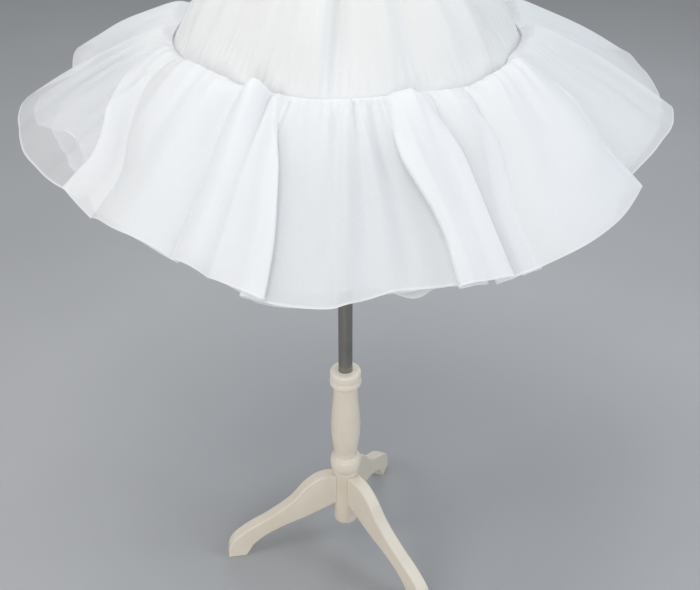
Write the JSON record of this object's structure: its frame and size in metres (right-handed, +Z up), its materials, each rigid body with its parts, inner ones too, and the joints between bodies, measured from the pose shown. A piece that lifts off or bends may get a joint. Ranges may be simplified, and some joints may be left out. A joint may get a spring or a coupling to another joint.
{
  "type": "tulle skirt on a dress form stand",
  "caption": "Flared tulle underskirt with a gathered ruffle tier, on a smooth limbless dress form and a turned wooden stand.",
  "frame": {"origin": "on the floor under the middle of the whole object, on the axis of the column and pole", "axes": "+Z up along the column; -Y is the front, where the skirt's lapped strip hangs; +X to the wearer's left"},
  "size_m": [0.9814, 0.9858, 1.7253],
  "materials": {
    "cream_paint": "satin",
    "steel": "satin",
    "clamp_steel": "satin",
    "jersey": "matte",
    "tulle": "satin",
    "casing": "satin"
  },
  "bodies": {
    "stand": {"leg_left": "cream_paint", "leg_right": "cream_paint", "leg_back": "cream_paint", "column": "cream_paint", "pole": "steel", "clamp": "clamp_steel"},
    "screw": {"thumb_screw": "clamp_steel"},
    "mast": {"mast": "steel"},
    "form": {"form": "jersey", "form_plate": "cream_paint", "form_socket": "clamp_steel", "neck_cap": "cream_paint", "waistband": "casing", "yoke": "tulle", "outer_ruffle": "tulle", "under_ruffle": "tulle"}
  },
  "joints": [
    {"name": "mast_slide", "type": "slide", "parent": "stand", "child": "mast", "axis": [0, 0, 1], "range_m": [-0.1, 0.15]},
    {"name": "form_turn", "type": "hinge", "parent": "mast", "child": "form", "pos_m": [0, 0, 1], "axis": [0, 0, 1], "continuous": true},
    {"name": "screw_turn", "type": "hinge", "parent": "stand", "child": "screw", "pos_m": [0.0302, -0.01744, 0.765], "axis": [0.866, -0.5, 0], "continuous": true}
  ]
}
